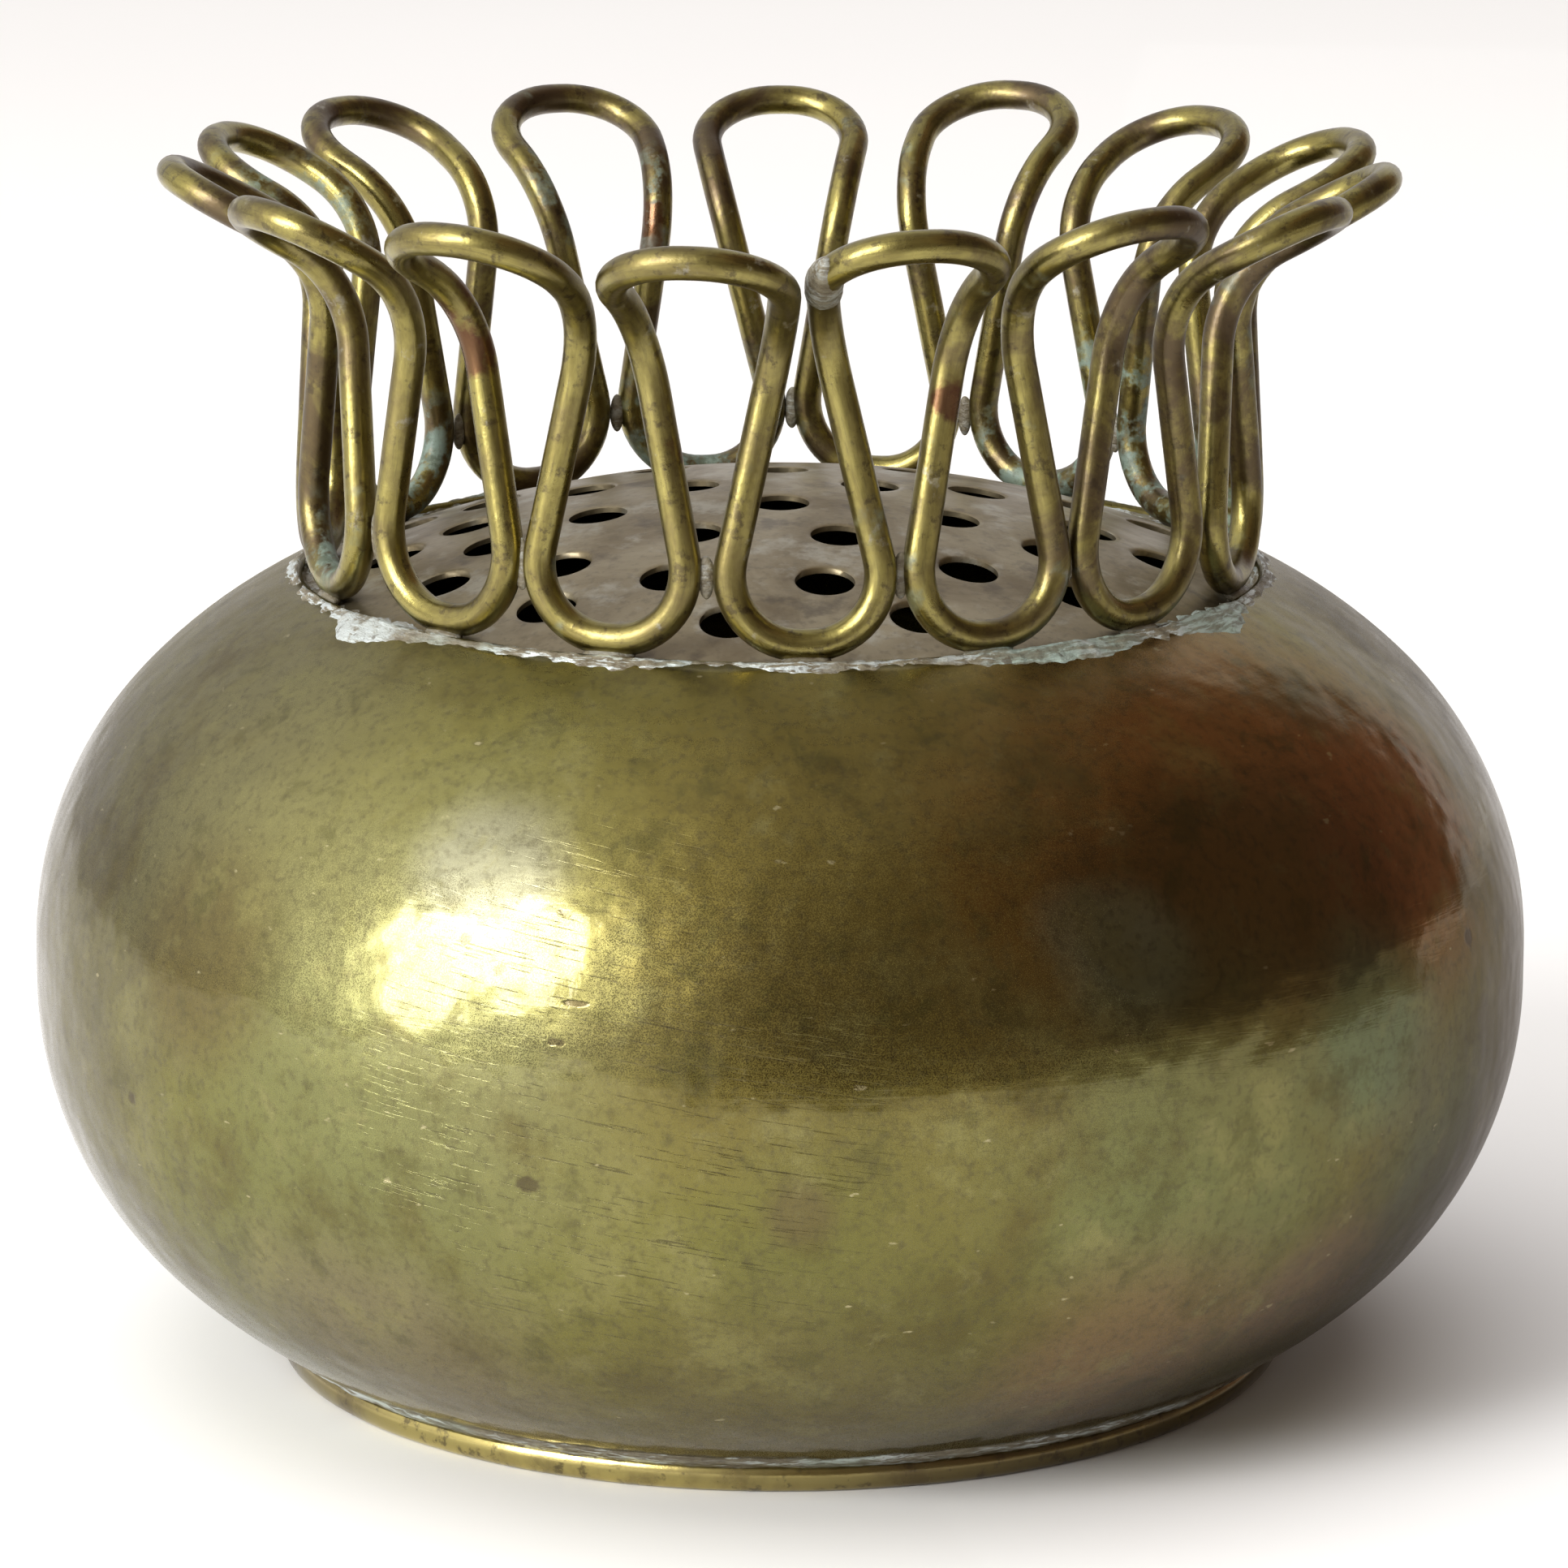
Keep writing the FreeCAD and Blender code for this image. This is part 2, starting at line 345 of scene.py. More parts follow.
def make_disc(material):
    """The punched dome, its hole edges turned down a little by the punch."""
    found, triangles = disc_plan()
    centres = [centre.xy for centre in hole_centres()]
    top, bottom = [], []
    for spot in found:
        gap = min((spot - c).length for c in centres) - HOLE_RADIUS
        z = disc_top(min(spot.length, DISC_RADIUS))
        point = Vector((spot.x, spot.y, z))
        sag = 0.12 * (wobble(point, 17, 1.0) + 1) + 0.16 * math.exp(-max(gap, 0) / 0.15)
        top.append(point - Vector((0, 0, sag)))
        bottom.append(point - Vector((0, 0, DISC_SHEET + 0.12 * wobble(point, 17, 1.0))))
    count = len(top)
    faces = [tuple(t) for t in triangles]
    faces += [(c + count, b + count, a + count) for a, b, c in triangles]
    faces += [(b, a, a + count, b + count) for a, b in boundary_edges(triangles)]
    piece = mesh_piece("stem_disc", top + bottom, faces, material,
                       ("pierced_disc",))
    piece.data.set_sharp_from_angle(angle=math.radians(50))
    return piece


# ------------------------------------------------------------------ crown wire

def turn_half_widths():
    halves = []
    count = len(TURN_ANGLES)
    for i in range(count):
        two_pitches = (TURN_ANGLES[(i + 1) % count] - TURN_ANGLES[i - 1]) % 360
        halves.append(TURN_RADIUS * math.sin(math.radians(two_pitches / 4)) + TURN_SPREAD)
    return halves


def crown_corners():
    """The wire's bend points, each with the distance from it at which its bend starts."""
    corners = []
    loop_trim = END_TRIM_SHARE * LOOP_HALF
    rows = zip(TURN_ANGLES, turn_half_widths(), LOOP_ANGLES, LOOP_LIFTS, LOOP_REACHES)
    for turn_deg, half, loop_deg, lift, reach in rows:
        for side in (-half, half):
            turn = polar(TURN_RADIUS, turn_deg, TURN_Z, side)
            corners.append((turn, END_TRIM_SHARE * half))
        flare_z = FLARE_Z + lift
        loop_radius = LOOP_RADIUS + reach
        loop_z = LOOP_Z + lift
        corners += [
            (polar(FLARE_RADIUS, loop_deg, flare_z, -LOOP_NECK_HALF), FLARE_TRIM),
            (polar(loop_radius, loop_deg, loop_z, -LOOP_HALF), loop_trim),
            (polar(loop_radius, loop_deg, loop_z, LOOP_HALF), loop_trim),
            (polar(FLARE_RADIUS, loop_deg, flare_z, LOOP_NECK_HALF), FLARE_TRIM),
        ]
    return corners


def bend_points(before, corner, after, trim, step=0.9):
    """Points along the arc that rounds one corner of the wire."""
    back = (before - corner).normalized()
    ahead = (after - corner).normalized()
    turn = math.pi - back.angle(ahead)
    radius = trim / math.tan(turn / 2)
    centre = corner + (back + ahead).normalized() * (radius / math.cos(turn / 2))
    outwards = (corner + back * trim - centre) / radius
    count = max(4, math.ceil(radius * turn / step))
    points = []
    for i in range(count + 1):
        angle = turn * i / count
        points.append(centre + radius * (outwards * math.cos(angle) - back * math.sin(angle)))
    return points


def between(start, end, step=1.5):
    """Points that divide a straight run, without its ends."""
    count = math.ceil((end - start).length / step)
    return [start.lerp(end, i / count) for i in range(1, count)]


def crown_path():
    """Points along the whole wire, from one end at its joint round to the other."""
    corners = crown_corners()
    count = len(corners)
    points = []
    for step in range(count):
        i = (JOINT_CORNER + step) % count
        before, (corner, trim) = corners[i - 1][0], corners[i]
        after = corners[(i + 1) % count][0]
        bend = bend_points(before, corner, after, trim)
        if points:
            points += between(points[-1], bend[0])
        points += bend
    joint = (points[-1] + points[0]) / 2
    half_gap = (points[0] - points[-1]).normalized() * (JOINT_GAP / 2)
    return [joint + half_gap] + points + [joint - half_gap]


def wire_rings(path):
    """Points round the wire at each step, and each one's (way travelled, cos, sin)."""
    points, marks = [], []
    tangent = (path[1] - path[0]).normalized()
    side = tangent.orthogonal().normalized()
    travelled = 0.0
    for i, middle in enumerate(path):
        ahead = path[min(i + 1, len(path) - 1)] - path[max(i - 1, 0)]
        new_tangent = ahead.normalized()
        side = tangent.rotation_difference(new_tangent) @ side
        tangent = new_tangent
        side = (side - tangent * side.dot(tangent)).normalized()
        across = tangent.cross(side)
        if i:
            travelled += (middle - path[i - 1]).length
        for k in range(WIRE_SIDES):
            turn = 2 * math.pi * k / WIRE_SIDES
            out = side * math.cos(turn) + across * math.sin(turn)
            radius = WIRE_RADIUS - FLAT_DEPTH * (1 + wobble(middle + out * 2.0, 4.0, 2.0))
            points.append(middle + out * radius)
            marks.append((travelled, math.cos(turn), math.sin(turn)))
    return points, marks


def tube_faces(rings, sides):
    """Faces of a tube of rings of points, closed at both ends."""
    faces = []
    for i in range(rings - 1):
        low, high = i * sides, (i + 1) * sides
        for k in range(sides):
            after = (k + 1) % sides
            faces.append((low + k, low + after, high + after, high + k))
    faces.append(tuple(range(sides))[::-1])
    faces.append(tuple(range((rings - 1) * sides, rings * sides)))
    return faces


def make_crown(material):
    """A round wire along the path, with the small flats of hand bending.

    It stays below the top of the CAD wire. Its "grain" runs along the wire and round it.
    """
    points, marks = wire_rings(crown_path())
    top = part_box("crown_wire")[1].z / MM
    for point in points:
        point.z = min(point.z, top)
    faces = tube_faces(len(points) // WIRE_SIDES, WIRE_SIDES)
    piece = mesh_piece("crown_rod", points, faces, material, ("crown_wire",))
    grain = piece.data.attributes.new("grain", "FLOAT_VECTOR", "POINT")
    for value, mark in zip(grain.data, marks):
        value.vector = mark
    return piece


# ------------------------------------------------------------------ solder

def blob(centre, axes, half_sizes, lumps, seed, rings=10, segments=18):
    """A lumpy drop of solder: points and faces of a closed, uneven ellipsoid."""
    points, faces = [], []
    for i in range(rings + 1):
        polar_angle = math.pi * i / rings
        for k in range(segments if 0 < i < rings else 1):
            turn = 2 * math.pi * k / segments
            unit = (math.sin(polar_angle) * math.cos(turn),
                    math.sin(polar_angle) * math.sin(turn),
                    math.cos(polar_angle))
            offset = sum((axis * size * u for axis, size, u in zip(axes, half_sizes, unit)),
                         Vector((0, 0, 0)))
            swell = 1 + lumps * wobble(centre + offset, 1.6, seed)
            points.append(centre + offset * swell)

    def at(i, k):
        if i == 0:
            return 0
        if i == rings:
            return 1 + (rings - 1) * segments
        return 1 + (i - 1) * segments + k % segments

    for i in range(rings):
        for k in range(segments):
            corners = (at(i, k), at(i, k + 1), at(i + 1, k + 1), at(i + 1, k))
            faces.append(tuple(dict.fromkeys(corners)))
    return points, faces


def joined(parts):
    """One list of points and faces from several."""
    points, faces = [], []
    for part_points, part_faces in parts:
        start = len(points)
        points += part_points
        faces += [tuple(i + start for i in face) for face in part_faces]
    return points, faces


def solder_run(base, thickness, segments):
    """A closed run of solder: points and faces of a skin with a buried underside.

    base holds (radius, z, outward lean in degrees) across the seam, and
    thickness(angle_deg, index) gives how proud the skin is there in mm. Where that is
    below zero the skin dips into the metal, which gives the run its broken edge.
    """
    count = len(base)
    outline = [(radius, z) for radius, z, _ in base]

    def placed(point, index):
        angle = math.degrees(math.atan2(point.x, -point.y))
        row = index if index < count else 2 * count - 1 - index
        lean = math.radians(base[row][2])
        proud = thickness(angle, index) if index < count else -SOLDER_DEPTH
        return point + polar(math.sin(lean), angle, math.cos(lean)) * proud

    return turned(outline + outline[::-1], segments, placed)


def near_angle(angle, centres, width):
    """1 at any of the centres, falling to 0 over width degrees."""
    gap = min(abs((angle - c + 180) % 360 - 180) for c in centres)
    return math.exp(-(gap / width) ** 2)


def shoulder_point(distance):
    """(radius, z, lean) on the bowl's shoulder at a distance outwards from the rim."""
    lean = math.radians(SHOULDER_DEG)
    step = SHOULDER_ARC - SIDE_ARC
    centre = (BOWL_RADIUS - SIDE_ARC - step * math.cos(lean),
              BAND_TOP_Z - step * math.sin(lean))
    rim = math.acos((RIM_RADIUS - centre[0]) / SHOULDER_ARC)
    angle = rim - distance / SHOULDER_ARC
    return (centre[0] + SHOULDER_ARC * math.cos(angle),
            centre[1] + SHOULDER_ARC * math.sin(angle),
            90 - math.degrees(angle))


# Places where the seam solder has run wide: angle, half width in degrees, how far in mm.
SEAM_SMEARS = ((-54, 4.5, 2.6), (-30, 6.0, 0.8), (35, 7.0, 2.2), (59, 6.0, 2.8),
               (150, 8.0, 3.0), (215, 6.0, 3.0))


SEAM_INNER = 46.6
SEAM_CREST = 49.5


def seam_base():
    """Points across the seam, from the disc over the step to the bowl's shoulder."""
    across = []
    for i in range(6):
        radius = SEAM_INNER + 0.45 * i
        across.append((radius, disc_top(radius) - 0.2, 18))
    across += [(49.2, 82.15, 20), (SEAM_CREST, 82.5, 20), (49.75, 82.85, 24)]
    for i in range(16):
        across.append(shoulder_point(0.2 + 0.32 * i))
    return across


def make_seam_solder():
    """The run of solder round the disc, a low crust with ragged edges and a few smears."""
    base = seam_base()

    def thickness(angle, index):
        across = base[index][0] - SEAM_CREST
        spot = polar(50, angle, across)
        slow = wobble(spot, 7, 11.0)
        lumps = wobble(spot, 2.0, 4.0)
        fine = wobble(spot, 0.8, 21.0)
        smear = sum(reach * near_angle(angle, (place,), width)
                    for place, width, reach in SEAM_SMEARS)
        drop = near_angle(angle, TURN_ANGLES, 3.5)
        reach = 1.6 + 1.0 * slow + 0.7 * lumps + 0.3 * fine + 0.6 * drop + smear
        if across < 0:
            reach = 1.9 + 0.8 * lumps + 0.4 * fine + 0.2 * smear
        fall = 1 - (across / max(reach, 0.3)) ** 2
        crust = 0.26 + 0.20 * lumps + 0.10 * fine + 0.14 * min(smear, 2.5) + 0.12 * drop
        proud = max(-0.3, (max(crust, 0.08) + 0.05) * fall - 0.05)
        if abs(across) < 0.6:
            proud = max(proud, 0.07)
        sunk = dented_depth(spot) if across > 0.2 else 0.0
        return proud - sunk

    return solder_run(base, thickness, SEAM_SEGMENTS)


def make_turn_pads():
    """A drop of solder under each lower turn of the wire."""
    parts = []
    for seed, angle in enumerate(TURN_ANGLES):
        centre = polar(PAD_RADIUS, angle, PAD_Z)
        outwards = polar(1, angle, -PAD_SLOPE).normalized()
        axes = (polar(0, angle, 0, 1), outwards, Vector((0, 0, 1)))
        parts.append(blob(centre, axes, PAD_HALF_SIZES, 0.25, seed + 0.5))
    return joined(parts)


def make_turn_webs():
    """A thin fillet of solder where each turn comes closest to the next."""
    parts = []
    count = len(TURN_ANGLES)
    for i, angle in enumerate(TURN_ANGLES):
        gap = (TURN_ANGLES[(i + 1) % count] - angle) % 360
        middle = angle + gap / 2
        tall = WEB_HALF_HEIGHT + 0.9 * wobble(Vector((i * 3.1, 0, 0)), 1.0, 5.0)
        centre = polar(WEB_RADIUS, middle, WEB_Z)
        axes = (polar(0, middle, 0, 1), polar(1, middle, 0), Vector((0, 0, 1)))
        half_sizes = (WEB_HALF_WIDTH, WEB_HALF_DEPTH, tall)
        parts.append(blob(centre, axes, half_sizes, 0.12, i + 20.5, 14))
    return joined(parts)


def make_joint_solder():
    """The drop that joins the two ends of the wire."""
    path = crown_path()
    centre = (path[0] + path[-1]) / 2
    along = (path[1] - path[0]).normalized()
    side = along.orthogonal().normalized()
    half_width = WIRE_RADIUS + JOINT_PROUD
    half_sizes = (half_width, half_width, JOINT_HALF_LENGTH)
    return blob(centre, (side, along.cross(side), along), half_sizes, 0.06, 40.5, 20, 24)


def make_foot_solder():
    """The run of solder between the bowl and its foot strip."""
    base = [(52.9, 2.75, 120), (53.1, 3.0, 110), (53.3, 3.2, 105), (53.6, 3.4, 110)]
    for i in range(9):
        radius = 53.8 + 0.3 * i
        base.append((radius, bowl_height(radius), 155))

    def thickness(angle, index):
        spot = polar(53, angle, index * 0.5)
        ragged = 0.7 * wobble(spot, 4, 14.0) + 0.4 * wobble(spot, 1.2, 9.0)
        fall = 1 - ((index - 3) / (5.2 + 3.0 * ragged)) ** 2
        return max(-0.3, (0.38 + 0.22 * ragged) * fall)

    return solder_run(base, thickness, FOOT_RUN_SEGMENTS)


def make_solder(run_material, drop_material, joint_material):
    """Every place where the solder shows, each as a piece of its own."""
    pieces = {
        ("seam_run", "seam_solder"): (make_seam_solder(), run_material),
        ("foot_run", "foot_solder"): (make_foot_solder(), run_material),
        ("turn_drops", "turn_pads"): (make_turn_pads(), drop_material),
        ("turn_fillets", "turn_webs"): (make_turn_webs(), drop_material),
        ("joint_drop", "joint_solder"): (make_joint_solder(), joint_material),
    }
    for (name, node), ((points, faces), material) in pieces.items():
        mesh_piece(name, points, faces, material, (node,))


# ------------------------------------------------------------------ material helpers

class Nodes:
    """Short calls for the node tree of one material."""

    def __init__(self, name):
        self.material = bpy.data.materials.new(name)
        self.material.use_nodes = True
        self.tree = self.material.node_tree
        self.shader = self.tree.nodes["Principled BSDF"]
        self.object_space = self.add("ShaderNodeTexCoord").outputs["Object"]

    def add(self, kind, **settings):
        node = self.tree.nodes.new(kind)
        for name, value in settings.items():
            setattr(node, name, value)
        return node

    def plug(self, value, socket):
        if isinstance(value, bpy.types.NodeSocket):
            self.tree.links.new(value, socket)
        else:
            socket.default_value = value

    def stretched(self, scale, source=None):
        node = self.add("ShaderNodeMapping")
        self.plug(source or self.object_space, node.inputs["Vector"])
        node.inputs["Scale"].default_value = scale
        return node.outputs["Vector"]

    def noise(self, scale, detail=4.0, rough=0.55, source=None, distortion=0.0):
        node = self.add("ShaderNodeTexNoise")
        self.plug(source or self.object_space, node.inputs["Vector"])
        node.inputs["Scale"].default_value = scale
        node.inputs["Detail"].default_value = detail
        node.inputs["Roughness"].default_value = rough
        node.inputs["Distortion"].default_value = distortion
        return node.outputs["Fac"]

    def ramp(self, value, low, high, start=0.0, end=1.0):
        node = self.add("ShaderNodeMapRange")
        node.interpolation_type = "SMOOTHSTEP"
        self.plug(value, node.inputs["Value"])
        for name, number in (("From Min", low), ("From Max", high),
                             ("To Min", start), ("To Max", end)):
            node.inputs[name].default_value = number
        return node.outputs["Result"]

    def math(self, operation, first, second=0.0, third=0.0):
        node = self.add("ShaderNodeMath", operation=operation)
        for value, socket in zip((first, second, third), node.inputs):
            self.plug(value, socket)
        return node.outputs["Value"]

    def mix(self, share, first, second):
        node = self.add("ShaderNodeMix", data_type="RGBA")
        self.plug(share, node.inputs["Factor"])
        self.plug(first, node.inputs["A"])
        self.plug(second, node.inputs["B"])
        return node.outputs["Result"]

    def bump(self, height, distance, strength=1.0, normal=None):
        node = self.add("ShaderNodeBump")
        self.plug(height, node.inputs["Height"])
        node.inputs["Distance"].default_value = distance
        node.inputs["Strength"].default_value = strength
        if normal:
            self.plug(normal, node.inputs["Normal"])
        return node.outputs["Normal"]

    def around(self):
        """Vector of arc length round the axis at the rim, radius and height, in mm."""
        parts = self.add("ShaderNodeSeparateXYZ")
        self.plug(self.object_space, parts.inputs["Vector"])
        east, north, up = parts.outputs
        angle = self.math("ARCTAN2", east, self.math("MULTIPLY", north, -1.0))
        out = self.math("SQRT", self.math("ADD", self.math("MULTIPLY", east, east),
                                          self.math("MULTIPLY", north, north)))
        joined_up = self.add("ShaderNodeCombineXYZ")
        self.plug(self.math("MULTIPLY", angle, RIM_RADIUS), joined_up.inputs["X"])
        self.plug(self.math("DIVIDE", out, MM), joined_up.inputs["Y"])
        self.plug(self.math("DIVIDE", up, MM), joined_up.inputs["Z"])
        return joined_up.outputs["Vector"]

    def height(self):
        """Height above the table in mm."""
        node = self.add("ShaderNodeSeparateXYZ")
        self.plug(self.object_space, node.inputs["Vector"])
        return self.math("DIVIDE", node.outputs["Z"], MM)

    def away(self, centre, flatten=1.0):
        """Distance in mm from a point; flatten over 1 makes equal distances lie wide."""
        offset = self.add("ShaderNodeVectorMath", operation="SUBTRACT")
        self.plug(self.object_space, offset.inputs[0])
        offset.inputs[1].default_value = Vector(centre) * MM
        scaled = self.add("ShaderNodeVectorMath", operation="MULTIPLY")
        self.plug(offset.outputs["Vector"], scaled.inputs[0])
        scaled.inputs[1].default_value = (1 / MM, 1 / MM, flatten / MM)
        length = self.add("ShaderNodeVectorMath", operation="LENGTH")
        self.plug(scaled.outputs["Vector"], length.inputs[0])
        return length.outputs["Value"]

    def patch(self, centre, radius, edge, ragged, flatten=1.0):
        """1 inside a patch round a point, 0 outside, with an edge that wanders."""
        distance = self.math("ADD", self.away(centre, flatten), ragged)
        return self.ramp(distance, radius - edge, radius + edge, 1.0, 0.0)

    def finish(self, color, roughness, metallic=1.0, normal=None, coat=0.0, coat_rough=0.1,
               coat_ior=1.5):
        self.plug(color, self.shader.inputs["Base Color"])
        self.plug(roughness, self.shader.inputs["Roughness"])
        self.plug(metallic, self.shader.inputs["Metallic"])
        self.plug(coat, self.shader.inputs["Coat Weight"])
        self.plug(coat_rough, self.shader.inputs["Coat Roughness"])
        self.plug(coat_ior, self.shader.inputs["Coat IOR"])
        if normal:
            self.plug(normal, self.shader.inputs["Normal"])
            self.plug(normal, self.shader.inputs["Coat Normal"])
        return self.material


def color(red, green, blue):
    return (red, green, blue, 1.0)


# Stains on the bowl, and patches of painted reflection among them: centre (x, y, z) in mm, radius,
# softness of the edge, colour, share.
BOWL_STAINS_AND_PAINTED_REFLECTIONS = [
    ((-40, -62, 50), 46, 26, color(0.205, 0.190, 0.046), 0.80),
    ((-34, -67, 52), 22, 11, color(0.205, 0.196, 0.086), 0.75),
    ((-58, -30, 72), 26, 14, color(0.220, 0.200, 0.095), 0.70),
    ((8, -68, 68), 24, 13, color(0.195, 0.140, 0.032), 0.55),
    # Painted reflection: darkens the front where the brass mirrors the dark part of the room.
    ((-4, -76, 52), 14, 8, color(0.165, 0.125, 0.034), 0.50),
    ((-44, -60, 31), 20, 11, color(0.180, 0.188, 0.062), 0.60),
    ((12, -76, 30), 17, 9, color(0.140, 0.150, 0.040), 0.50),
    ((34, -62, 46), 30, 18, color(0.170, 0.130, 0.036), 0.60),
    # Partly patina and partly painted reflection: reddish brown where the brass mirrors the
    # rust-brown rim of the dark part of the room.
    ((46, -54, 66), 28, 14, color(0.230, 0.125, 0.036), 0.80),
    ((62, -38, 66), 15, 7, color(0.300, 0.125, 0.042), 0.70),
    ((44, -42, 77), 13, 7, color(0.270, 0.150, 0.055), 0.55),
    ((33, -67, 58), 6, 3, color(0.300, 0.320, 0.190), 0.80),
    ((28, -69, 62), 4, 2, color(0.270, 0.270, 0.150), 0.60),
    ((58, -52, 47), 9, 5, color(0.170, 0.250, 0.140), 0.65),
    ((41, -66, 40), 18, 10, color(0.165, 0.200, 0.075), 0.60),
    ((66, -38, 34), 12, 7, color(0.160, 0.200, 0.130), 0.45),
    ((-57, -51, 54), 10, 5, color(0.150, 0.115, 0.036), 0.80),
    ((-66, -40, 44), 9, 5, color(0.140, 0.125, 0.045), 0.60),
    ((2, -77, 36), 3.4, 1.6, color(0.130, 0.095, 0.040), 0.65),
    ((-28, -66, 67), 7, 3, color(0.330, 0.320, 0.250), 0.45),
    ((34, -60, 16), 14, 8, color(0.235, 0.135, 0.065), 0.65),
    ((52, -48, 20), 9, 5, color(0.240, 0.130, 0.085), 0.50),
    ((-37, -57, 15), 16, 9, color(0.215, 0.165, 0.100), 0.60),
    ((0, -62, 12), 20, 10, color(0.165, 0.125, 0.050), 0.50),
    ((-70, 0, 40), 42, 20, color(0.155, 0.140, 0.066), 0.65),
    ((70, 10, 45), 45, 20, color(0.155, 0.120, 0.070), 0.45),
]

# Nicks in the bowl: centre in mm, radius, how much wider than high.
BOWL_NICKS = [
    ((-23.8, -74.0, 38.0), 1.2, 1.6),
    ((68.7, -35.0, 52.0), 0.9, 1.0),
    ((-29.7, -68.0, 60.5), 0.6, 1.5),
    ((-20.3, -69.9, 63.4), 0.5, 1.5),
    ((-26.3, -70.5, 58.0), 0.6, 1.0),
    ((-19.1, -73.7, 55.6), 1.3, 4.5),
    ((-21.0, -74.0, 51.9), 0.9, 2.5),
    ((30.0, -55.0, 77.0), 0.5, 1.0),
    ((-64.0, -44.0, 38.0), 0.7, 1.3),
    ((10.0, -71.0, 16.0), 0.6, 1.5),
]


def bowl_patina_and_painted_reflections(n, level, cloud, ragged):
    """The clouded colours of the bowl, with a few patches of painted reflection, without its
    scratches and nicks.
    """
    mottle = n.noise(170, 5, 0.65, distortion=0.3)
    grain = n.noise(1100, 3, 0.6)
    base = n.mix(n.ramp(level, 26, 50), color(0.132, 0.122, 0.022), color(0.205, 0.172, 0.034))
    base = n.mix(n.ramp(level, 56, 78), base, color(0.240, 0.200, 0.050))
    for centre, radius, edge, tone, share in BOWL_STAINS_AND_PAINTED_REFLECTIONS:
        mask = n.patch(centre, radius, edge, n.math("MULTIPLY", ragged, min(radius, 20) / 13))
        base = n.mix(n.math("MULTIPLY", mask, share), base, tone)
    base = n.mix(n.ramp(cloud, 0.50, 0.70, 0.0, 0.65), base, color(0.100, 0.076, 0.020))
    base = n.mix(n.ramp(cloud, 0.46, 0.32, 0.0, 0.45), base, color(0.270, 0.250, 0.085))
    base = n.mix(n.ramp(mottle, 0.54, 0.68, 0.0, 0.50), base, color(0.095, 0.086, 0.024))
    base = n.mix(n.ramp(mottle, 0.44, 0.30, 0.0, 0.40), base, color(0.270, 0.245, 0.095))
    return n.mix(n.ramp(grain, 0.45, 0.75, 0.0, 0.45), base, color(0.08, 0.066, 0.030))


def bowl_nicks(n):
    """A mask of the small dents and chips."""
    nicks = 0.0
    rough_edge = n.math("MULTIPLY_ADD", n.noise(1400, 2, 0.5), 1.1, -0.55)
    for centre, radius, flatten in BOWL_NICKS:
        nicks = n.math("MAXIMUM", nicks, n.patch(centre, radius, 0.30, rough_edge, flatten))
    return nicks


def bowl_scratches(n, wander):
    """A mask of rubbing scratches a little off level, most of them in one worn band."""
    tilt = n.add("ShaderNodeMapping")
    n.plug(n.object_space, tilt.inputs["Vector"])
    tilt.inputs["Rotation"].default_value = (0, math.radians(-9), 0)
    dashes = n.noise(1, 3, 0.6, n.stretched((150, 150, 4200), tilt.outputs["Vector"]))
    band = n.patch((-16, -77, 43), 22, 12, wander)
    return n.math("MULTIPLY", n.ramp(dashes, 0.60, 0.68), n.math("ADD", band, 0.08))


def bowl_roughness(n, height, cloud, spun, dull):
    """Roughness of the brass: fine etched grains lie between polished ones.

    The two side by side give edges that are mirrored both sharp and soft.
    """
    etched = n.ramp(n.noise(8500, 1, 0.5), 0.36, 0.64, 0.0, 0.23)
    etched = n.math("ADD", etched, n.ramp(height, 62, 74, 0.0, 0.12))
    rough = n.math("MULTIPLY_ADD", etched, dull, n.ramp(cloud, 0.3, 0.75, 0.13, 0.20))
    return n.math("ADD", rough, n.ramp(spun, 0.3, 0.8, -0.02, 0.04))


def bowl_brass():
    """Raised and spun brass under a century of patina, clouded olive, brown and green."""
    n = Nodes("bowl_brass")
    height = n.height()
    drift = n.noise(30, 5, 0.6, distortion=0.5)
    cloud = n.noise(75, 6, 0.65)
    wander = n.math("MULTIPLY_ADD", drift, 24.0, -12.0)
    ragged = n.math("MULTIPLY_ADD", cloud, 14.0, -7.0)
    spun = n.noise(1, 3, 0.6, n.stretched((14, 14, 1300)))
    nicks = bowl_nicks(n)
    scratches = bowl_scratches(n, wander)

    base = bowl_patina_and_painted_reflections(n, n.math("ADD", height, wander), cloud, ragged)
    base = n.mix(n.math("MULTIPLY", nicks, 0.7), base, color(0.07, 0.05, 0.025))
    base = n.mix(n.math("MULTIPLY", scratches, 0.55), base, color(0.045, 0.034, 0.014))
    glints = n.ramp(n.noise(1, 2, 0.5, n.stretched((420, 420, 900))), 0.72, 0.78, 0.0, 0.8)
    base = n.mix(glints, base, color(0.42, 0.37, 0.20))

    polished = n.patch((62, -44, 56), 38, 12, ragged)
    dull = n.math("SUBTRACT", 1.0, n.math("MULTIPLY", polished, 0.85))
    rough = bowl_roughness(n, height, cloud, spun, dull)
    coat_rough = n.math("MULTIPLY_ADD", n.ramp(height, 62, 74, 0.0, 0.25), dull,
                        n.ramp(cloud, 0.3, 0.7, 0.05, 0.12))

    normal = n.bump(n.noise(105, 2, 0.5), 0.00042)
    normal = n.bump(spun, 0.000012, 1.0, normal)
    normal = n.bump(n.noise(420, 3, 0.6), 0.000025, 1.0, normal)
    dips = n.math("MULTIPLY", n.math("MAXIMUM", nicks, scratches), -1.0)
    normal = n.bump(dips, 0.00002, 1.0, normal)
    n.shader.inputs["Specular Tint"].default_value = color(0.62, 0.60, 0.60)
    return n.finish(base, rough, 1.0, normal, 0.5, coat_rough, 1.42)


